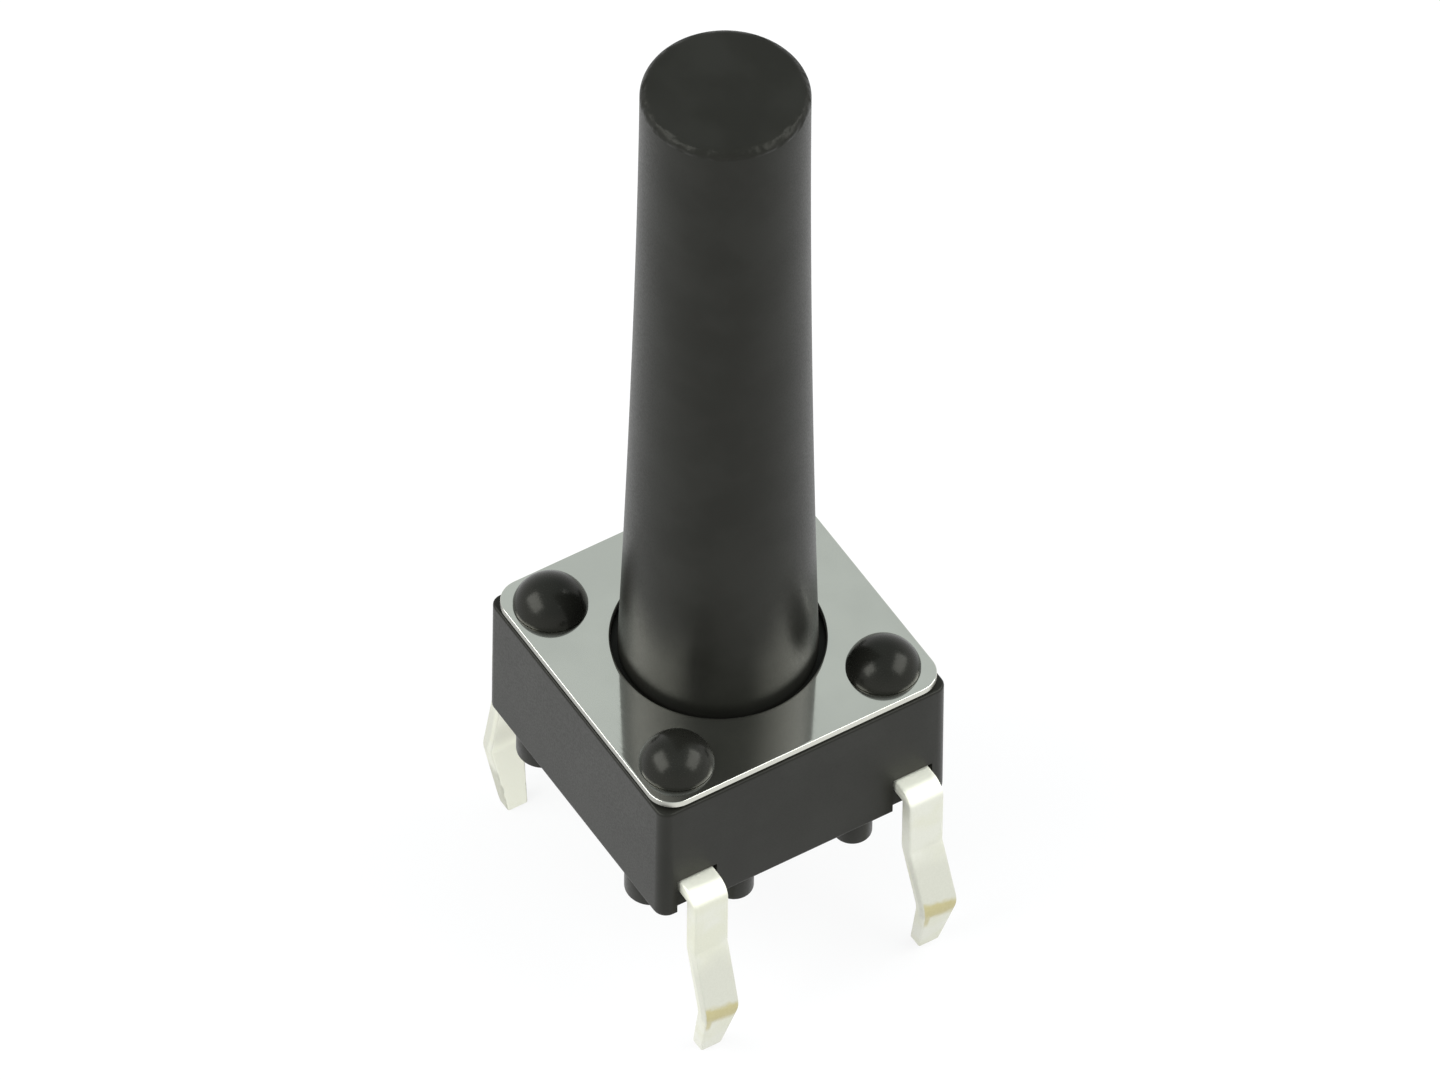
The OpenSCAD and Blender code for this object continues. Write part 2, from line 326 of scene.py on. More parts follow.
def combine(piece: Piece, steps: list[tuple[Join, Surface]], sharp_above: float = 35.0) -> None:
    """Adds surfaces to a piece or cuts them out of it, one after another.

    Args:
        piece: The piece that is changed.
        steps: What is done, and the closed surface that it is done with.
        sharp_above: Angle in degrees past which an edge is shown sharp.
    """
    tools = [new_piece(f"{piece.name}_tool_{i}", surface) for i, (_, surface) in enumerate(steps)]
    for (kind, _), tool in zip(steps, tools):
        modifier = piece.modifiers.new(tool.name, "BOOLEAN")
        modifier.operation = kind.value
        modifier.solver = "EXACT"
        modifier.object = tool
    evaluated = piece.evaluated_get(bpy.context.evaluated_depsgraph_get())
    result = bpy.data.meshes.new_from_object(evaluated)
    piece.modifiers.clear()
    piece.data = result
    for tool in tools:
        bpy.data.objects.remove(tool)
    dress(piece, sharp_above)


def weigh_normals(piece: Piece) -> None:
    """Lets a piece's large flat faces stay flat beside its small rounded edges.

    Args:
        piece: The piece that gets the modifier.
    """
    modifier = piece.modifiers.new("weighted", "WEIGHTED_NORMAL")
    modifier.weight = 100
    modifier.keep_sharp = True


# Finishes

class Nodes:
    """A node tree that is filled by short calls.

    A value is a number, a colour of three numbers, or another node's output.
    """

    def __init__(self, tree: bpy.types.NodeTree) -> None:
        """Starts from an empty tree."""
        self.tree = tree
        tree.nodes.clear()

    def node(self, kind: str, **settings: object) -> bpy.types.Node:
        """Adds a node and sets its properties.

        Args:
            kind: Blender's name of the node, without ShaderNode.
            settings: The properties by name.

        Returns:
            The node.
        """
        node = self.tree.nodes.new("ShaderNode" + kind)
        for name, value in settings.items():
            setattr(node, name, value)
        return node

    def put(self, socket: Socket, value: object) -> None:
        """Gives a socket its value.

        Args:
            socket: The socket.
            value: A number, a colour or another node's output.
        """
        if isinstance(value, Socket):
            self.tree.links.new(value, socket)
        else:
            socket.default_value = (*value, 1.0) if isinstance(value, tuple) else value

    def maths(self, operation: str, *values: object) -> Socket:
        """Adds one sum.

        Args:
            operation: The sum, as Blender names it.
            values: What it works on.

        Returns:
            Its result.
        """
        node = self.node("Math", operation=operation)
        for socket, value in zip(node.inputs, values):
            self.put(socket, value)
        return node.outputs["Value"]

    def product(self, first: object, *others: object) -> Socket:
        """Multiplies values.

        Args:
            first: The first value.
            others: The other values.

        Returns:
            Their product.
        """
        for other in others:
            first = self.maths("MULTIPLY", first, other)
        return first

    def fitted(self, value: Socket, source: tuple[float, float], target: tuple[object, object]) -> Socket:
        """Carries a value smoothly from one range to another.

        The result is low + (high - low) * s * s * (3 - 2 * s), where s is the value's share of its range.

        Args:
            value: The value.
            source: The range that it comes from.
            target: The range that it goes to.

        Returns:
            The result.
        """
        fit = self.node("MapRange", interpolation_type="SMOOTHSTEP")
        names = ("Value", "From Min", "From Max", "To Min", "To Max")
        for name, number in zip(names, (value, *source, *target)):
            self.put(fit.inputs[name], number)
        return fit.outputs["Result"]

    def rises(self, value: Socket, start: float, end: float) -> Socket:
        """Returns a share that rises smoothly from 0 to 1 between two values."""
        return self.fitted(value, (start, end), (0.0, 1.0))

    def falls(self, value: Socket, start: float, end: float) -> Socket:
        """Returns a share that falls smoothly from 1 to 0 between two values."""
        return self.fitted(value, (start, end), (1.0, 0.0))

    def mixed(self, share: Socket, first: object, second: object) -> Socket:
        """Mixes two colours.

        Args:
            share: Share of the second colour, from 0 to 1.
            first: The first colour.
            second: The second colour.

        Returns:
            The mixed colour.
        """
        mix = self.node("Mix", data_type="RGBA")
        for place, value in ((0, share), (6, first), (7, second)):
            self.put(mix.inputs[place], value)
        return mix.outputs[2]

    def by_ray(self, unseen: object, seen: float) -> Socket:
        """Chooses a value by the ray: camera, glossy and transmission rays see directly.

        Args:
            unseen: Value for the rays that only carry light.
            seen: Value for the rays that see directly.

        Returns:
            The chosen value.
        """
        rays = self.node("LightPath").outputs
        sees = self.maths("MAXIMUM", rays["Is Camera Ray"], rays["Is Glossy Ray"])
        sees = self.maths("MAXIMUM", sees, rays["Is Transmission Ray"])
        return self.fitted(sees, (0.0, 1.0), (unseen, seen))


class Shader(Nodes):
    """A material with one Principled surface, whose patterns are counted in millimetres."""

    def __init__(self, name: str) -> None:
        """Makes the material and the nodes that every finish needs.

        Args:
            name: The material's name.
        """
        self.material = bpy.data.materials.new(name)
        self.material.use_nodes = True
        super().__init__(self.material.node_tree)
        self.surface = self.node("BsdfPrincipled")
        self.put(self.node("OutputMaterial").inputs["Surface"], self.surface.outputs["BSDF"])
        self.place = self.node("TexCoord").outputs["Object"]

    def fixed(self, **values: object) -> None:
        """Sets the surface's own sockets, named with underscores."""
        for name, value in values.items():
            self.put(self.surface.inputs[name.replace("_", " ")], value)

    def scaled(self, per_mm: float | Place) -> Socket:
        """Counts the place on the piece in steps.

        Args:
            per_mm: Steps per millimetre, for all axes or for each.

        Returns:
            The place.
        """
        mapping = self.node("Mapping")
        self.put(mapping.inputs["Vector"], self.place)
        mapping.inputs["Scale"].default_value = np.broadcast_to(per_mm, 3) / MM
        return mapping.outputs["Vector"]

    def noise(self, per_mm: float | Place, detail: float = 2.0) -> Socket:
        """Adds a smooth noise.

        Args:
            per_mm: Patches per millimetre, for all axes or for each.
            detail: Number of finer layers.

        Returns:
            The noise, around 0.5.
        """
        noise = self.node("TexNoise")
        for name, value in (("Vector", self.scaled(per_mm)), ("Scale", 1.0), ("Detail", detail)):
            self.put(noise.inputs[name], value)
        return noise.outputs["Fac"]

    def axes(self) -> list[Socket]:
        """Splits the place on the piece.

        Returns:
            X, Y and Z, in millimetres.
        """
        separate = self.node("SeparateXYZ")
        self.put(separate.inputs["Vector"], self.scaled(1.0))
        return list(separate.outputs)

    def above(self, height: float, over: float) -> Socket:
        """Returns a share that rises from 0 to 1 over a stretch that starts at a height."""
        return self.rises(self.axes()[2], height, height + over)

    def clouded(self, noise: Socket, first: Colour, second: Colour) -> Socket:
        """Returns a colour that a noise clouds between two."""
        return self.mixed(self.rises(noise, *CLOUDS), first, second)

    def spread(self, noise: Socket, middle: float, half: float) -> Socket:
        """Returns a value that a noise spreads by up to a half to both sides of its middle."""
        return self.fitted(noise, GRAIN, (middle - half, middle + half))

    def bumps(self, heights: list[tuple[Socket, float]]) -> None:
        """Raises the surface by noises.

        Args:
            heights: Each noise with its height in micrometres.
        """
        normal = None
        for height, micrometres in heights:
            bump = self.node("Bump")
            self.put(bump.inputs["Distance"], micrometres * MM * MM)
            self.put(bump.inputs["Height"], height)
            if normal is not None:
                self.put(bump.inputs["Normal"], normal)
            normal = bump.outputs["Normal"]
        self.put(self.surface.inputs["Normal"], normal)


@dataclass(frozen=True)
class MouldedPlastic:
    """Black plastic from a finely eroded mould.

    Staked heads are smoother where they were pressed, and a tip's rim is uneven. Lengths are in
    millimetres, heights of grain, waves and dents in micrometres.
    """

    name: str
    colour: Colour
    lighter: Colour
    roughness: float
    roughness_spread: float = 0.05
    specular: float = 0.2
    specular_tint: Colour = (1.0, 1.0, 0.9)
    clouds_per_mm: float = 0.8
    grains_per_mm: float = 28.0
    grain_height: float = 0.9
    waves_per_mm: float = 0.9
    wave_height: float = 3.0
    pressed_above: float = inf
    pressed_over: float = 0.02
    pressed_smoother: float = 0.12
    uneven_below: float = inf
    uneven_depth: float = 0.2
    uneven_over: float = 0.1
    even_top: float = 0.03
    dents_per_mm: float = 3.6
    unevenness: float = 90.0

    def material(self) -> bpy.types.Material:
        """Makes the finish.

        Returns:
            The material.
        """
        shader = Shader(self.name)
        clouds = shader.noise(self.clouds_per_mm, 3.0)
        grain = shader.noise(self.grains_per_mm, 3.0)
        waves = shader.noise(self.waves_per_mm, 1.0)
        roughness = shader.spread(grain, self.roughness, self.roughness_spread)
        heights = [(waves, self.wave_height), (grain, self.grain_height)]
        if self.pressed_above < inf:
            pressed = shader.above(self.pressed_above, self.pressed_over)
            smoother = shader.product(pressed, self.pressed_smoother)
            roughness = shader.maths("SUBTRACT", roughness, smoother)
        if self.uneven_below < inf:
            dents = shader.maths("SUBTRACT", shader.noise(self.dents_per_mm, 1.5), 0.5)
            begins = shader.above(self.uneven_below - self.uneven_depth, self.uneven_over)
            ends = shader.above(self.uneven_below - self.even_top, self.even_top)
            stretch = shader.maths("SUBTRACT", begins, ends)
            heights.append((shader.product(dents, stretch), self.unevenness))
        shader.fixed(Base_Color=shader.clouded(clouds, self.colour, self.lighter), Roughness=roughness,
                     Specular_IOR_Level=self.specular, Specular_Tint=self.specular_tint)
        shader.bumps(heights)
        return shader.material


@dataclass(frozen=True)
class RolledSteel:
    """Bright cold-rolled strip, with fine rolling lines along X.

    Its cut edge, below the face's level, is greyer and rougher, and a painted shade darkens it further on
    the side at -Y.
    """

    name: str
    colour: Colour
    darker: Colour
    roughness: float
    roughness_spread: float = 0.04
    metallic: float = 0.99
    lines_per_mm: Place = (0.5, 38.0, 38.0)
    line_height: float = 0.12
    clouds_per_mm: float = 0.7
    face_level: float = -inf
    cut_below: tuple[float, float] = (0.008, 0.001)
    cut: Colour = (0.62, 0.62, 0.56)
    cut_roughness: float = 0.35
    # painted shade for the cut edge on the side at -Y, and the stretch over which it fades
    cut_painted_shade: Colour = (0.36, 0.36, 0.33)
    shade_below_y: float = -inf
    shade_over: float = 0.3

    def material(self) -> bpy.types.Material:
        """Makes the finish.

        Returns:
            The material.
        """
        shader = Shader(self.name)
        lines = shader.noise(self.lines_per_mm, 4.0)
        colour = shader.clouded(shader.noise(self.clouds_per_mm, 3.0), self.colour, self.darker)
        roughness = shader.spread(lines, self.roughness, self.roughness_spread)
        if self.face_level > -inf:
            low, high = (self.face_level - below for below in self.cut_below)
            edge = shader.falls(shader.axes()[2], low, high)
            # painted shade: the cut edge on the side at -Y is mixed towards a darker colour
            shaded_side = shader.falls(shader.axes()[1], self.shade_below_y, self.shade_below_y + self.shade_over)
            colour = shader.mixed(edge, colour, shader.mixed(shaded_side, self.cut, self.cut_painted_shade))
            roughness = shader.maths("MAXIMUM", roughness, shader.product(edge, self.cut_roughness))
        shader.fixed(Base_Color=colour, Metallic=self.metallic, Roughness=roughness)
        shader.bumps([(lines, self.line_height)])
        return shader.material


class PinShader(Shader):
    """A shader that knows where a point lies on its pin, with the pin's push out of true undone.

    Places are in millimetres, and so are the ranges in which a share rises or falls.
    """

    def __init__(self, name: str, lead: "LeadFrame") -> None:
        """Works the place out.

        Args:
            name: The material's name.
            lead: The lead frame that the pin belongs to.
        """
        super().__init__(name)
        x, y, z = self.axes()
        share = self.falls(z, -lead.knee_depth, 0.0)
        true = []
        for value, back, front in zip((x, y, z), lead.push_back, lead.push_front):
            push = self.product(share, self.fitted(x, (-1.0, 1.0), (back, front)))
            true.append(self.maths("SUBTRACT", value, push))
        self.x, y, z = true
        self.below_board = self.product(z, -1.0)
        self.below_knee = self.maths("SUBTRACT", self.below_board, lead.knee_depth)
        self.across = self.maths("SUBTRACT", y, lead.which.value * lead.row_y)
        self.past_edge = self.from_edge(lead)
        self.inset = self.from_face(lead)

    def from_edge(self, lead: "LeadFrame") -> Socket:
        """Works out how far a point lies beyond the pin's flank, which closes in below the knee.

        Args:
            lead: The lead frame that the pin belongs to.

        Returns:
            The distance, below 0 on the pin.
        """
        narrowing = (lead.pin_width - lead.tip_width) / 2 / (lead.tip_depth - lead.knee_depth)
        below = self.product(self.maths("MAXIMUM", self.below_knee, 0.0), narrowing)
        beside = self.maths("SUBTRACT", self.maths("ABSOLUTE", self.across), lead.pin_width / 2)
        return self.maths("ADD", beside, below)

    def from_face(self, lead: "LeadFrame") -> Socket:
        """Works out how far a point lies beyond the pin's outer face, which runs out to the knee and back.

        Args:
            lead: The lead frame that the pin belongs to.

        Returns:
            The distance, below 0 on the pin.
        """
        lean = (lead.knee_out + lead.tip_in) / (lead.tip_depth - lead.knee_depth)
        back = self.product(self.maths("ABSOLUTE", self.below_knee), lean)
        knee = lead.leg_x + lead.knee_out + lead.sheet / 2
        beyond = self.maths("SUBTRACT", self.maths("ABSOLUTE", self.x), knee)
        return self.maths("ADD", beyond, back)

    def shade_share(self) -> Socket:
        """Works out how much painted shade a point takes: all the more the nearer it lies to the knee from
        above.

        Returns:
            A share from 0 to 1.
        """
        cloud = self.product(self.noise(2.5), 0.5)
        above = self.rises(self.maths("ADD", self.below_board, cloud), 0.3, 1.0)
        below = self.falls(self.maths("ADD", self.below_knee, cloud), 0.3, 0.5)
        return self.product(above, below)

    def edge_shadow_share(self) -> Socket:
        """Works out how strongly a point takes the painted shadow along the flank's edge: on the pins at
        -X, below the knee.

        Returns:
            A share from 0 to 0.8.
        """
        wobble = self.product(self.noise((9.0, 9.0, 4.0)), 0.08)
        past = self.maths("ADD", self.past_edge, wobble)
        near = self.rises(past, 0.005, 0.035)
        far = self.falls(past, 0.065, 0.08)
        low = self.fitted(self.below_knee, (0.3, 0.6), (0.0, 0.8))
        return self.product(near, far, low, self.falls(self.x, -1.0, 1.0))

    def knee_shade_share(self) -> Socket:
        """Works out how strongly the knee's brownish painted shade and reflection cover a height and side
        of the pin.

        It starts at the knee, higher at -Y, fades below, and its leg runs on down the edge at -Y.

        Returns:
            A share from 0 to 1.
        """
        wobble = self.product(self.noise(5.0), 0.2)
        tilt = self.product(self.across, 0.25)
        depth = self.maths("SUBTRACT", self.below_knee, self.maths("ADD", wobble, tilt))
        start = self.rises(depth, -0.32, -0.18)
        strip = self.falls(depth, -0.02, 0.24)
        leg = self.fitted(depth, (0.32, 0.52), (0.8, 0.0))
        side = self.falls(self.across, -0.23, -0.17)
        return self.product(start, self.maths("MAXIMUM", strip, self.product(leg, side)))


@dataclass(frozen=True)
class TinPlate:
    """Matte tin over brass.

    Its colour has painted light on the bends and inner faces, painted shade down the outer faces, a
    brownish painted shade and reflection at the knees, and a painted shadow along one edge of the pins at
    -X.
    """

    name: str
    colour: Colour
    creamy: Colour
    # painted light on the bends' top faces and on the inner faces
    painted_light: Colour
    # painted shade down the outer faces towards the knee
    painted_shade: Colour
    # brownish painted shade and reflection at the knee
    brown_painted_shade: Colour
    # painted shadow along the flank's edge, on the pins at -X
    painted_edge_shadow: Colour
    metallic: float = 0.5
    roughness: float = 0.55
    roughness_spread: float = 0.08
    clouds_per_mm: float = 1.6
    cloud_height: float = 2.0
    grains_per_mm: float = 24.0
    grain_height: float = 0.6
    # height from which the bends take the painted light
    bend_from: float = 1.03
    bend_over: float = 0.17

    def material(self, lead: "LeadFrame") -> bpy.types.Material:
        """Makes the finish for one lead frame.

        Args:
            lead: The lead frame whose pins are plated.

        Returns:
            The material.
        """
        pin = PinShader(self.name, lead)
        clouds = pin.noise(self.clouds_per_mm, 3.0)
        grain = pin.noise(self.grains_per_mm, 3.0)
        broad = pin.falls(pin.past_edge, -0.035, -0.005)
        outer = pin.rises(pin.inset, -0.2, -0.14)
        inner = pin.product(pin.falls(pin.inset, -0.31, -0.25), broad)
        bend = pin.above(self.bend_from, self.bend_over)
        plate = pin.clouded(clouds, self.colour, self.creamy)
        # painted light: bends and inner faces are mixed towards a lighter colour
        plate = pin.mixed(pin.maths("MAXIMUM", inner, bend), plate, self.painted_light)
        # painted shade: outer faces darken from the board down towards the knee
        plate = pin.mixed(pin.product(pin.shade_share(), outer), plate, self.painted_shade)
        # painted shadow along the flank's edge below the knee, on the pins at -X
        plate = pin.mixed(pin.edge_shadow_share(), plate, self.painted_edge_shadow)
        # brownish painted shade and reflection at the knee, on the broad outer face
        plate = pin.mixed(pin.product(pin.knee_shade_share(), broad, outer), plate, self.brown_painted_shade)
        roughness = pin.spread(grain, self.roughness, self.roughness_spread)
        pin.fixed(Base_Color=plate, Metallic=self.metallic, Roughness=roughness)
        pin.bumps([(clouds, self.cloud_height), (grain, self.grain_height)])
        return pin.material


# Sub-assemblies

@dataclass(frozen=True)
class Box:
    """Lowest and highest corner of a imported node, in millimetres."""

    low: Place
    high: Place

    @classmethod
    def of(cls, node: str) -> "Box":
        """Returns the box of the node with that name."""
        return cls(*(tuple(float(value) / MM for value in corner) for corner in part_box(node)))


BASE_BOX = Box.of("base")
COVER_BOX = Box.of("cover")
PLUNGER_BOX = Box.of("plunger")
DOME_BOX = Box.of("contact_dome")
TERMINAL_BOX = Box.of("terminal_outer")
LONG_PIN = (0.12, -0.04, -0.12)  # how far the lowest pin is pushed out of true, in millimetres


class Frame(Enum):
    """The two lead frames of the switch, with the side of their strip."""

    CENTRE = -1
    OUTER = 1


@dataclass
class LeadFrame:
    """One stamped and bent lead frame: a strip with two pins, its arms and its contacts."""

    which: Frame
    sheet: float = 0.3
    pin_width: float = 0.7
    row_y: float = 2.25
    strip_z: float = 1.15
    leg_x: float = 3.35
    bend_radius: float = 0.17
    kink_start: float = 0.22
    knee_depth: float = 1.56
    knee_out: float = 0.375
    knee_radius: float = 0.4
    tip_in: float = 0.01
    tip_width: float = 0.42
    edge_radius: float = 0.035
    arm_width: float = 0.6
    pad_at: float = 1.4
    pad_diameter: float = 0.56
    pad_top: float = 1.45
    centre_arm_width: float = 0.8
    centre_disc: float = 1.3
    centre_contact: float = 1.0
    centre_top: float = 1.57
    gap: float = 0.2
    round_steps: int = 48
    push_back: Place = (0.0, 0.0, 0.0)
    push_front: Place = (0.0, 0.0, 0.0)
    tip_depth: float = -TERMINAL_BOX.low[2]

    def pushed(self, points: np.ndarray) -> None:
        """Pushes the free ends of the pins at -X and +X out of true, all the more the lower they are.

        The share is s * s * (3 - 2 * s), where s goes from 0 at the board to 1 at the knee.

        Args:
            points: Array of points in millimetres, which is changed.
        """
        depth = np.clip(-points[..., 2:] / self.knee_depth, 0, 1)
        share = depth * depth * (3 - 2 * depth)
        points += share * np.where(points[..., :1] < 0, self.push_back, self.push_front)

    def strip(self) -> Surface:
        """Strip from tip to tip: a section carried along the bent middle line, cut off level at each tip.

        The section is a rectangle with rounded edges, as wide as the pin's front outline is at that
        height. Near a tip each point slides along the pin until it lies on a level plane, and the
        section shrinks as the plane sinks, so that the tip's edges are rounded.

        Returns:
            The strip, in its row.
        """
        last = (self.leg_x - self.tip_in, -self.tip_depth)
        half = rounded_path(
            [(0, self.strip_z), (self.leg_x, self.strip_z), (self.leg_x, -self.kink_start),
             (self.leg_x + self.knee_out, -self.knee_depth), last],
            [self.bend_radius, self.knee_radius, self.knee_radius], 10)[1:-1]
        narrowing = np.linspace(half[-1], last, 8)[1:-1]
        tip_turn = np.linspace(0, QUARTER, 4)
        tip_inset = self.edge_radius * (1 - np.cos(tip_turn))
        tip_level = -self.tip_depth + self.edge_radius * (1 - np.sin(tip_turn))
        half = np.concatenate([half, narrowing, np.tile(last, (len(tip_turn), 1))])
        inset = np.concatenate([np.zeros(len(half) - len(tip_turn)), tip_inset])
        middle = np.concatenate([half[::-1] * (-1, 1), half])
        inset = np.concatenate([inset[::-1], inset])
        step = np.gradient(middle, axis=0)
        step[:len(tip_turn)] = middle[len(tip_turn)] - middle[0]
        step[-len(tip_turn):] = middle[-1] - middle[-1 - len(tip_turn)]
        along = step / np.linalg.norm(step, axis=1, keepdims=True)
        across = np.stack([-along[:, 1], along[:, 0]], axis=-1)
        width = np.interp(
            middle[:, 1], [-self.tip_depth, -self.knee_depth], [self.tip_width, self.pin_width])
        outline = self.section(width / 2 - inset, self.sheet / 2 - inset)
        points = np.empty(outline.shape[:2] + (3,))
        points[..., 0] = middle[:, None, 0] + outline[..., 1] * across[:, None, 0]
        points[..., 1] = outline[..., 0]
        points[..., 2] = middle[:, None, 1] + outline[..., 1] * across[:, None, 1]
        self.level(points, along, tip_level)
        self.pushed(points)
        return skin(points).moved(0, self.which.value * self.row_y)

    def section(self, half_width: np.ndarray, half_sheet: np.ndarray) -> np.ndarray:
        """Rounded rectangles, which the strip is drawn through.

        Each corner is an arc of four points, with one more point on the flat before it and after it.

        Args:
            half_width: Half the width of each rectangle.
            half_sheet: Half the thickness of each.

        Returns:
            Array of (rectangle, point, 2).
        """
        corner = np.concatenate([[0], np.linspace(0, QUARTER, 4), [QUARTER]])
        angle = np.concatenate([corner + k * QUARTER for k in range(4)])
        slide = np.tile([-BORDER, 0, 0, 0, 0, BORDER], 4)
        sign = np.stack([np.repeat([1, -1, -1, 1], 6), np.repeat([1, 1, -1, -1], 6)], axis=-1)
        ball = self.edge_radius * np.stack([np.cos(angle), np.sin(angle)], axis=-1)
        flat = slide[:, None] * np.stack([-np.sin(angle), np.cos(angle)], axis=-1)
        reach = np.stack([half_width, half_sheet], axis=-1) - self.edge_radius
        return reach[:, None, :] * sign[None] + (ball + flat)[None]

    @staticmethod
    def level(points: np.ndarray, along: np.ndarray, heights: np.ndarray) -> None:
        """Slides the outlines at both tips along the pin until each lies at its height.

        Args:
            points: Array of (outline, point, xyz), which is changed.
            along: The strip's direction at each outline.
            heights: Heights of the last outlines, down to the tip.
        """
        count = len(heights)
        for rows, level in ((slice(0, count), heights[::-1]), (slice(-count, None), heights)):
            slide = (level[:, None] - points[rows, :, 2]) / along[rows, None, 1]
            points[rows, :, 0] += slide * along[rows, None, 0]
            points[rows, :, 2] += slide * along[rows, None, 1]

    def slab(self, x0: float, y0: float, x1: float, y1: float) -> Surface:
        """A flat piece of the sheet with slightly broken edges.

        Args:
            x0: X of one corner.
            y0: Y of that corner.
            x1: X of the opposite corner.
            y1: Y of the opposite corner.

        Returns:
            The flat piece.
        """
        centre = ((x0 + x1) / 2, (y0 + y1) / 2)
        edge = self.edge_radius
        half = np.array([abs(x1 - x0) / 2, abs(y1 - y0) / 2])
        low, high = self.strip_z - self.sheet / 2, self.strip_z + self.sheet / 2
        stack = [(edge, low), (0, low + edge), (0, high - edge), (edge, high)]
        outlines = np.array([raised(CORNERS * (half - inset), z) for inset, z in stack])
        return skin(outlines).moved(*centre)

    def contact(self, diameter: float, top: float) -> Surface:
        """A round contact coined up from the sheet, with a rounded rim.

        Args:
            diameter: Its diameter.
            top: Height of its face.

        Returns:
            The contact, about Z.
        """
        rim = arc((diameter / 2 - BREAK, top - BREAK), BREAK, 0, QUARTER, 4)
        low = self.strip_z - self.sheet / 2
        profile = np.concatenate([[(0, low), (diameter / 2, low)], rim, [(0, top)]])
        return turned(profile, self.round_steps)

    def added(self) -> list[Surface]:
        """Arms and contacts that are joined to the strip.

        Returns:
            The surfaces, in the order in which they are joined.
        """
        sheet_top = self.strip_z + self.sheet / 2
        if self.which is Frame.CENTRE:
            half = self.centre_arm_width / 2
            arm = self.slab(-half, -self.row_y, half, 0)
            return [arm, self.contact(self.centre_disc, sheet_top),
                    self.contact(self.centre_contact, self.centre_top)]
        inner = -(self.row_y - self.pin_width / 2) + self.gap
        near, far = self.pad_at - self.arm_width / 2, self.pad_at + self.arm_width / 2
        arm = self.slab(near, inner, far, self.row_y)
        pads = self.contact(self.pad_diameter, self.pad_top).at_corners(self.pad_at, self.pad_at)
        return [arm + arm.mirrored(-1, 1), pads]

    def build(self, node: str, finish: TinPlate) -> Piece:
        """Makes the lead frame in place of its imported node.

        Args:
            node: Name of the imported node.
            finish: The plating.

        Returns:
            The finished piece.
        """
        piece = new_piece(f"lead_frame_{self.which.name.lower()}", self.strip())
        combine(piece, [(Join.ADD, surface) for surface in self.added()])
        weigh_normals(piece)
        return place(piece, finish.material(self), node, "tinned_brass", "housing")


def place(piece: Piece, material: bpy.types.Material, node: str, slot: str, body: str) -> Piece:
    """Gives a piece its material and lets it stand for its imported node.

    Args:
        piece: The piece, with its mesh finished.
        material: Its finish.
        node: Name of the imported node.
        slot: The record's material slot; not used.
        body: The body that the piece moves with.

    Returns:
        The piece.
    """
    piece.data.materials.append(material)
    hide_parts(node)
    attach(piece, body)
    log.info("%s: %d points, %d faces", piece.name, len(piece.data.vertices), len(piece.data.polygons))
    return piece


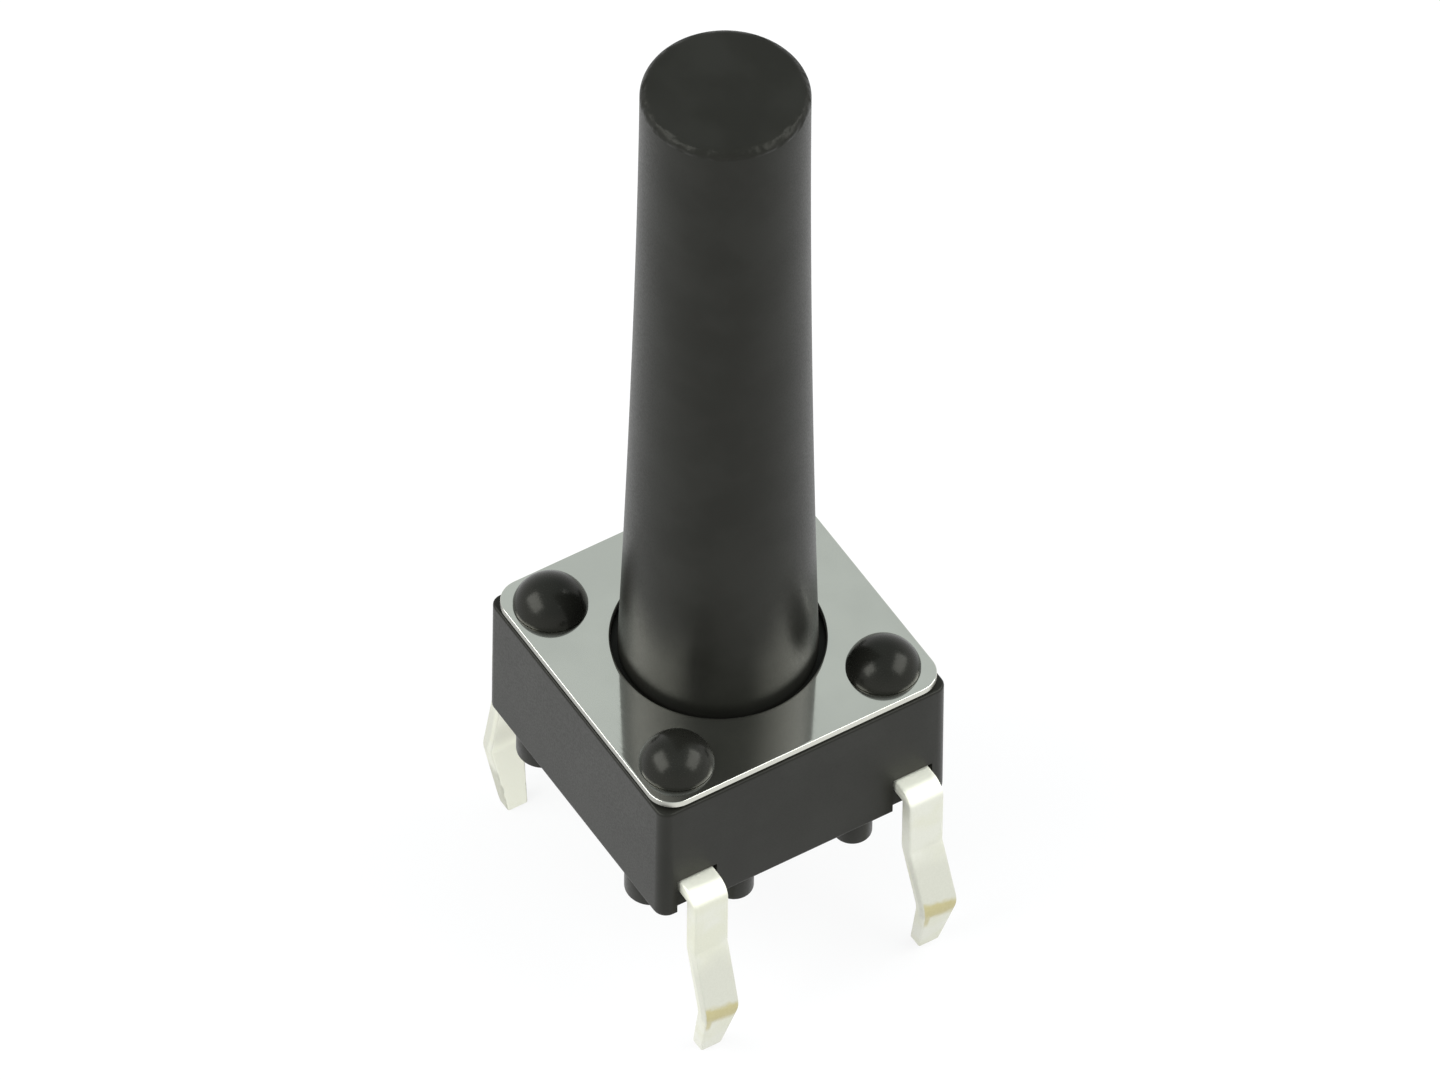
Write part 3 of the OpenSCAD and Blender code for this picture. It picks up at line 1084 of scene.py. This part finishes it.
@dataclass
class BaseMoulding:
    """The black base: a drafted block with its cavity, feet, notches and staked posts."""

    finish: MouldedPlastic
    half: float = BASE_BOX.high[0]
    foot_line: float = 0.5
    top: float = COVER_BOX.low[2]
    cover_top: float = COVER_BOX.high[2]
    head_top: float = BASE_BOX.high[2]
    draft: float = 0.02
    corner_radius: float = 0.25
    edge_radius: float = 0.05
    cavity_diameter: float = 4.6
    cavity_floor: float = 1.4
    gate_diameter: float = 1.6
    gate_depth: float = 0.15
    foot_edge: float = 0.05
    small_foot: float = 0.72
    small_foot_in: tuple[float, float] = (0.39, 1.01)
    large_foot: float = 0.98
    large_foot_in: tuple[float, float] = (1.14, 0.5)
    post_at: float = 2.15
    post_diameter: float = 0.9
    head_diameter: float = 1.37
    head_edge: float = 0.05
    staked_off: tuple[float, float] = (-0.02, -0.02)
    notch_depth: float = 0.15
    notch_half_width: float = 0.41
    notch_top: float = 1.36
    row_y: float = 2.25
    foot_steps: int = 64
    head_steps: int = 72

    def block(self) -> Surface:
        """Block with its cavity and gate recess, as one stack of outlines from the recess to the cavity.

        Returns:
            The block.
        """
        flat = square_outline(self.half, self.corner_radius)
        gate, cavity = self.gate_diameter / 2, self.cavity_diameter / 2
        recess = self.foot_line + self.gate_depth
        under = [(0, recess), (gate - BREAK, recess), (gate, self.foot_line + BREAK),
                 (gate + BREAK, self.foot_line)]
        inside = [(cavity + BREAK, self.top), (cavity, self.top - BREAK),
                  (cavity, self.cavity_floor + BREAK), (cavity - BREAK, self.cavity_floor),
                  (0, self.cavity_floor)]
        first, last = (
            [raised(round_outline(radius, flat), z) for radius, z in part] for part in (under, inside)
        )
        return skin(np.array(first + self.wall_outlines() + last))

    def wall_outlines(self) -> list[np.ndarray]:
        """Outlines of the wall: a rounded lower edge, a slight draft and a rounded upper edge.

        Returns:
            The outlines, from below to above.
        """
        edge = self.edge_radius
        lower = arc((edge, self.foot_line + edge), edge, -QUARTER, -pi, 5)
        upper = arc((self.draft + edge, self.top - edge), edge, pi, QUARTER, 5)
        wall = [(0, self.foot_line + edge + BORDER), (self.draft, self.top - edge - BORDER)]
        return rounded_wall(self.half, self.corner_radius, edge, np.concatenate([lower, wall, upper]))

    def foot(self, diameter: float) -> Surface:
        """A round foot with a rounded lower edge.

        Args:
            diameter: The foot's diameter.

        Returns:
            The foot, about Z.
        """
        radius, edge = diameter / 2, self.foot_edge
        rim = arc((radius - edge, edge), edge, -QUARTER, 0, 5)
        buried = self.foot_line + BURIED
        profile = np.concatenate([[(0, 0)], rim, [(radius, buried), (0, buried)]])
        return turned(profile, self.foot_steps)

    def feet(self) -> Surface:
        """Small feet, set in from the wall and from the row of pins, and large feet, from both walls.

        Returns:
            All eight feet.
        """
        small, large = self.small_foot_in, self.large_foot_in
        return (self.foot(self.small_foot).at_corners(self.half - small[0], self.row_y - small[1])
                + self.foot(self.large_foot).at_corners(self.half - large[0], self.half - large[1]))

    def posts(self) -> Surface:
        """Posts through the cover, staked over into heads.

        A head's side is a part of a ball whose rim lies on the cover, softened at the rim.

        Returns:
            All four posts.
        """
        radius, height = self.head_diameter / 2, self.head_top - self.cover_top
        ball = (radius ** 2 + height ** 2) / (2 * height)
        centre_z = self.cover_top + height - ball
        rim_angle = atan2(self.cover_top + self.head_edge - centre_z, radius)
        crown = arc((0, centre_z), ball, rim_angle, QUARTER, 18)
        post = self.post_diameter / 2
        under = [(0, self.top - BURIED), (post, self.top - BURIED), (post, self.cover_top)]
        rim = [(crown[0][0] - BREAK, self.cover_top), (crown[0][0], self.cover_top + BREAK)]
        profile = np.concatenate([under, rim, crown[:-1], [(0, self.head_top)]])
        post = turned(profile, self.head_steps)
        return post.at_corners(self.post_at, self.post_at).moved(*self.staked_off)

    def notches(self) -> Surface:
        """Cuts that keep the walls clear of the pins.

        Returns:
            All four cuts.
        """
        reach = 0.5
        half = np.array([(self.notch_depth + reach) / 2, self.notch_half_width])
        levels = (self.foot_line - reach, self.notch_top)
        cut = skin(np.array([raised(CORNERS * half, z) for z in levels]))
        return cut.at_corners(self.half + (reach - self.notch_depth) / 2, self.row_y)

    def build(self, frames: list[LeadFrame]) -> Piece:
        """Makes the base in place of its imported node.

        Args:
            frames: The lead frames that are moulded in.

        Returns:
            The finished piece.
        """
        piece = new_piece("base_moulding", self.block())
        steps = [(Join.ADD, self.feet()), (Join.ADD, self.posts()), (Join.CUT, self.notches())]
        for lead in frames:
            steps += [(Join.CUT, surface) for surface in [lead.strip(), *lead.added()]]
        combine(piece, steps)
        weigh_normals(piece)
        return place(piece, self.finish.material(), "base", "base_plastic", "housing")


@dataclass
class CoverPlate:
    """The stamped steel cover, with its centre hole and four post holes."""

    finish: RolledSteel
    half: float = COVER_BOX.high[0] + 0.03
    low: float = COVER_BOX.low[2]
    high: float = COVER_BOX.high[2]
    corner_radius: float = 0.5
    edge_radius: float = 0.015
    hole_diameter: float = 3.85
    hole_edge: float = 0.03
    burr: float = 0.075
    post_at: float = 2.15
    post_hole: float = 1.0
    steps: tuple[int, int] = (36, 12)
    hole_steps: int = 64

    def plate(self) -> Surface:
        """Plate as a ring of outlines: out over the rolled edge, in over the hole's edge and down.

        Returns:
            The plate, without its post holes.
        """
        edge, hole, lip = self.edge_radius, self.hole_diameter / 2, self.hole_edge
        flat = square_outline(self.half, self.corner_radius, *self.steps)
        outer = np.concatenate([[(self.burr, self.low), (0, self.low + self.burr)],
                                arc((edge, self.high - edge), edge, pi, QUARTER, 6),
                                [(edge + BORDER, self.high)]])
        sides = rounded_wall(self.half, self.corner_radius, edge, outer, self.steps)
        inner = np.concatenate([[(hole + lip + BORDER, self.high)],
                                arc((hole + lip, self.high - lip), lip, QUARTER, pi, 4),
                                [(hole, self.low + self.burr), (hole + self.burr, self.low)]])
        bore = [raised(round_outline(radius, flat), z) for radius, z in inner]
        return skin(np.array(sides + bore), Ends.RING)

    def build(self) -> Piece:
        """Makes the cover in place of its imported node.

        Returns:
            The finished piece.
        """
        piece = new_piece("cover_plate", self.plate())
        radius, past = self.post_hole / 2, 0.2
        profile = np.array([(0, self.low - past), (radius, self.low - past),
                            (radius, self.high + past), (0, self.high + past)])
        holes = turned(profile, self.hole_steps).at_corners(self.post_at, self.post_at)
        combine(piece, [(Join.CUT, holes)])
        weigh_normals(piece)
        return place(piece, self.finish.material(), "cover", "cover_steel", "housing")


@dataclass
class Plunger:
    """The tall plunger: a slightly hollow cone with a flange and a nub under the cover."""

    finish: MouldedPlastic
    tip_z: float = PLUNGER_BOX.high[2]
    nub_z: float = PLUNGER_BOX.low[2]
    flange_radius: float = PLUNGER_BOX.high[0]
    root_z: float = COVER_BOX.high[2]
    root_radius: float = 1.79
    tip_radius: float = 1.485
    taper_power: float = 1.6
    tip_edge: float = 0.18
    flange_top: float = COVER_BOX.low[2] - 0.02
    flange_thickness: float = 0.6
    flange_edge: float = 0.04
    nub_radius: float = 0.8
    nub_edge: float = 0.15
    round_steps: int = 160

    def radius_at(self, z: np.ndarray) -> np.ndarray:
        """Radius of the stem: tip + (root - tip) * (1 - share of the height) to the taper's power."""
        share = (z - self.root_z) / (self.tip_z - self.root_z)
        return self.tip_radius + (self.root_radius - self.tip_radius) * (1 - share) ** self.taper_power

    def profile(self) -> np.ndarray:
        """Half section from the nub over the flange and the stem to the tip, as (radius, height).

        Returns:
            Array of (radius, height), from the nub to the tip.
        """
        edge = self.tip_edge
        side_z = np.linspace(self.root_z, self.tip_z - edge, 40)
        side = np.column_stack([self.radius_at(side_z), side_z])
        top_radius = side[-1, 0]
        tip = arc((top_radius - edge, self.tip_z - edge), edge, 0, QUARTER, 12)[1:]
        nub = arc((self.nub_radius - self.nub_edge, self.nub_z + self.nub_edge), self.nub_edge,
                  -QUARTER, 0, 6)
        flange_z, lip = self.flange_top - self.flange_thickness, self.flange_edge
        rim = self.flange_radius - lip
        lower = arc((rim, flange_z + lip), lip, -QUARTER, 0, 4)
        upper = arc((rim, self.flange_top - lip), lip, 0, QUARTER, 4)
        return np.concatenate([
            [(0, self.nub_z)], nub, [(self.nub_radius, flange_z)], lower, upper,
            [(self.root_radius, self.flange_top)], side, tip, [(0, self.tip_z)],
        ])

    def build(self) -> Piece:
        """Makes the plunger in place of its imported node.

        Returns:
            The finished piece.
        """
        piece = new_piece("tall_plunger", turned(self.profile(), self.round_steps))
        weigh_normals(piece)
        return place(piece, self.finish.material(), "plunger", "plunger_plastic", "plunger")


@dataclass
class SnapDome:
    """The round snap dome, which flattens as the plunger is pressed."""

    finish: RolledSteel
    radius: float = DOME_BOX.high[0]
    rim_z: float = DOME_BOX.low[2]
    top_z: float = DOME_BOX.high[2]
    thickness: float = 0.08
    travel: float = 0.25
    round_steps: int = 96

    def shell(self) -> Surface:
        """Shell between two balls with one centre, cut off level at the rim.

        Returns:
            The shell.
        """
        rise = self.top_z - self.rim_z
        ball = (self.radius ** 2 + rise ** 2) / (2 * rise)
        centre_z = self.top_z - ball
        inner = ball - self.thickness
        level = self.rim_z - centre_z
        outer_arc = arc((0, centre_z), ball, QUARTER, atan2(level, self.radius), 24)
        inner_rim = (inner ** 2 - level ** 2) ** 0.5
        inner_arc = arc((0, centre_z), inner, atan2(level, inner_rim), QUARTER, 24)
        return turned(np.concatenate([outer_arc, inner_arc]), self.round_steps)

    def build(self) -> Piece:
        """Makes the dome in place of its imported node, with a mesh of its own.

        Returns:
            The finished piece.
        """
        piece = new_piece("snap_dome", self.shell())
        place(piece, self.finish.material(), "contact_dome", "dome_steel", "housing")
        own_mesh(piece)
        return piece


# Studio

@dataclass(frozen=True)
class SoftBox:
    """A flat lamp that faces the switch, with its sizes in metres."""

    name: str
    direction: Place
    power: float
    width: float = 0.30
    height: float = 0.18
    distance: float = 0.3

    def build(self, target: Vector) -> None:
        """Hangs the lamp in its direction from the target.

        Args:
            target: The point that the lamp faces, in metres.
        """
        lamp = bpy.data.lights.new(self.name, "AREA")
        lamp.shape = "RECTANGLE"
        lamp.size, lamp.size_y = self.width, self.height
        lamp.energy = self.power
        holder = shown(self.name, lamp)
        away = Vector(self.direction).normalized()
        holder.location = target + away * self.distance
        holder.rotation_euler = away.to_track_quat("Z", "Y").to_euler()


@dataclass
class Studio:
    """A white floor lit from below, two soft lamps and a white surround.

    The floor's colour and glow each have a value for rays that only carry light, then one for rays
    that see directly.
    """

    floor_z: float = TERMINAL_BOX.low[2] + LONG_PIN[2] - 0.002
    floor_half: float = 1500.0
    floor_colour: tuple[float, float] = (0.5, 0.12)
    floor_glow: tuple[float, float] = (0.55, 0.83)
    horizon: tuple[float, float] = (0.1, 0.7)
    ambient: tuple[float, float] = (0.25, 1.75)
    eye_level: Colour = (1.0, 1.0, 1.0)
    overhead: Colour = (0.62, 0.667, 0.677)
    lamps: tuple[SoftBox, ...] = (
        SoftBox("left_lamp", (-0.230, -0.731, 0.643), 0.88),
        SoftBox("right_lamp", (0.467, 0.607, 0.643), 0.76),
    )

    def floor(self) -> None:
        """A wide flat floor that looks white and keeps a faint shadow."""
        mesh = bpy.data.meshes.new("floor")
        corners = raised(CORNERS * self.floor_half, self.floor_z) * MM
        mesh.from_pydata(corners.tolist(), [], [[0, 1, 2, 3]])
        mesh.materials.append(self.floor_material())
        shown("floor", mesh)

    def floor_material(self) -> bpy.types.Material:
        """Pale matte floor that is lit from below, and looks white with a faint shadow.

        Returns:
            The material.
        """
        material = bpy.data.materials.new("white_floor")
        material.use_nodes = True
        nodes = Nodes(material.node_tree)
        matte, glow, both = (nodes.node(kind) for kind in ("BsdfDiffuse", "Emission", "AddShader"))
        nodes.put(matte.inputs["Color"], nodes.by_ray(*self.floor_colour))
        nodes.put(glow.inputs["Strength"], nodes.by_ray(*self.floor_glow))
        nodes.put(both.inputs[0], matte.outputs["BSDF"])
        nodes.put(both.inputs[1], glow.outputs["Emission"])
        nodes.put(nodes.node("OutputMaterial").inputs["Surface"], both.outputs["Shader"])
        return material

    def surround(self) -> None:
        """World that is white at eye level and greyer overhead, and soft light where it isn't seen."""
        world = bpy.data.worlds.new("surround")
        world.use_nodes = True
        bpy.context.scene.world = world
        nodes = Nodes(world.node_tree)
        separate, background = nodes.node("SeparateXYZ"), nodes.node("Background")
        nodes.put(separate.inputs["Vector"], nodes.node("TexCoord").outputs["Object"])
        height = separate.outputs["Z"]
        shade = nodes.mixed(nodes.rises(height, *self.horizon), self.eye_level, self.overhead)
        ambient = nodes.fitted(height, self.horizon, self.ambient)
        nodes.put(background.inputs["Color"], shade)
        nodes.put(background.inputs["Strength"], nodes.by_ray(ambient, 1.0))
        nodes.put(nodes.node("OutputWorld").inputs["Surface"], background.outputs["Background"])

    def build(self) -> None:
        """Makes the floor, the lamps and the world."""
        self.floor()
        self.surround()
        target = Vector((0.0, 0.0, MIDDLE_Z * MM))
        for lamp in self.lamps:
            lamp.build(target)
        bpy.context.scene.view_settings.view_transform = "Standard"


@dataclass
class PhotoCamera:
    """A far camera with a long lens, at the photograph's angle."""

    azimuth: float = 57.880
    elevation: float = 49.427
    roll: float = 0.777
    target: Place = (0.0, 0.0, MIDDLE_Z)
    offset: tuple[float, float] = (-0.005, 0.269)
    distance: float = 350.0
    field_width: float = 25.427
    sensor: float = 36.0

    def build(self) -> None:
        """Makes the camera: its back, right and up directions come from the three angles."""
        turn, rise, roll = radians(self.azimuth), radians(self.elevation), radians(self.roll)
        back = Vector((cos(rise) * sin(turn), -cos(rise) * cos(turn), sin(rise)))
        right = Vector((cos(turn), sin(turn), 0.0))
        up = back.cross(right)
        leaning_right = right * cos(roll) + up * sin(roll)
        leaning_up = up * cos(roll) - right * sin(roll)
        data = bpy.data.cameras.new("photo_camera")
        data.sensor_width = self.sensor
        data.lens = self.sensor * self.distance / self.field_width
        data.clip_start = 10 * MM
        data.clip_end = 10.0
        camera = shown("photo_camera", data)
        spot = Vector(self.target) + back * self.distance
        spot -= leaning_right * self.offset[0] + leaning_up * self.offset[1]
        turned_to = Matrix((leaning_right, leaning_up, back)).transposed().to_4x4()
        camera.matrix_world = Matrix.Translation(spot * MM) @ turned_to
        bpy.context.scene.camera = camera


# The switch

BASE_PLASTIC = MouldedPlastic(
    "satin_black_base", colour=(0.0080, 0.0080, 0.0065), lighter=(0.0108, 0.0108, 0.0091), roughness=0.36,
    pressed_above=COVER_BOX.high[2])
PLUNGER_PLASTIC = MouldedPlastic(
    "satin_black_plunger", colour=(0.0106, 0.0106, 0.0088), lighter=(0.0138, 0.0138, 0.0118),
    roughness=0.37, specular=0.125, grain_height=0.4, uneven_below=PLUNGER_BOX.high[2])
# The cover's cut edge takes a painted shade on the side at -Y.
COVER_STEEL = RolledSteel(
    "rolled_cover_steel", colour=(0.70, 0.70, 0.63), darker=(0.66, 0.66, 0.595), roughness=0.065,
    roughness_spread=0.02, line_height=0.05, face_level=COVER_BOX.high[2], shade_below_y=COVER_BOX.low[1])
DOME_STEEL = RolledSteel(
    "dome_spring_steel", colour=(0.6, 0.59, 0.55), darker=(0.55, 0.54, 0.5), roughness=0.2)
# Beyond the first two, the tin's colours are painted light, painted shade and a painted shadow.
TIN = TinPlate(
    "matte_tin_plate", colour=(0.63, 0.63, 0.56), creamy=(0.61, 0.61, 0.51), painted_light=(0.90, 0.90, 0.78),
    painted_shade=(0.54, 0.54, 0.47), brown_painted_shade=(0.465, 0.42, 0.23), painted_edge_shadow=(0.42, 0.42, 0.35))


def main() -> None:
    """Builds the camera, the studio and the switch's six pieces."""
    logging.basicConfig(level=logging.INFO, format="%(name)s: %(message)s")
    PhotoCamera().build()
    Studio().build()
    frames = [
        LeadFrame(Frame.CENTRE, push_back=LONG_PIN, push_front=(0.04, 0.0, -0.05)),
        LeadFrame(Frame.OUTER, push_front=(0.04, 0.08, 0.0)),
    ]
    BaseMoulding(BASE_PLASTIC).build(frames)
    CoverPlate(COVER_STEEL).build()
    Plunger(PLUNGER_PLASTIC).build()
    SnapDome(DOME_STEEL).build()
    for lead, node in zip(frames, ("terminal_centre", "terminal_outer")):
        lead.build(node, TIN)


if __name__ == "__main__":
    main()
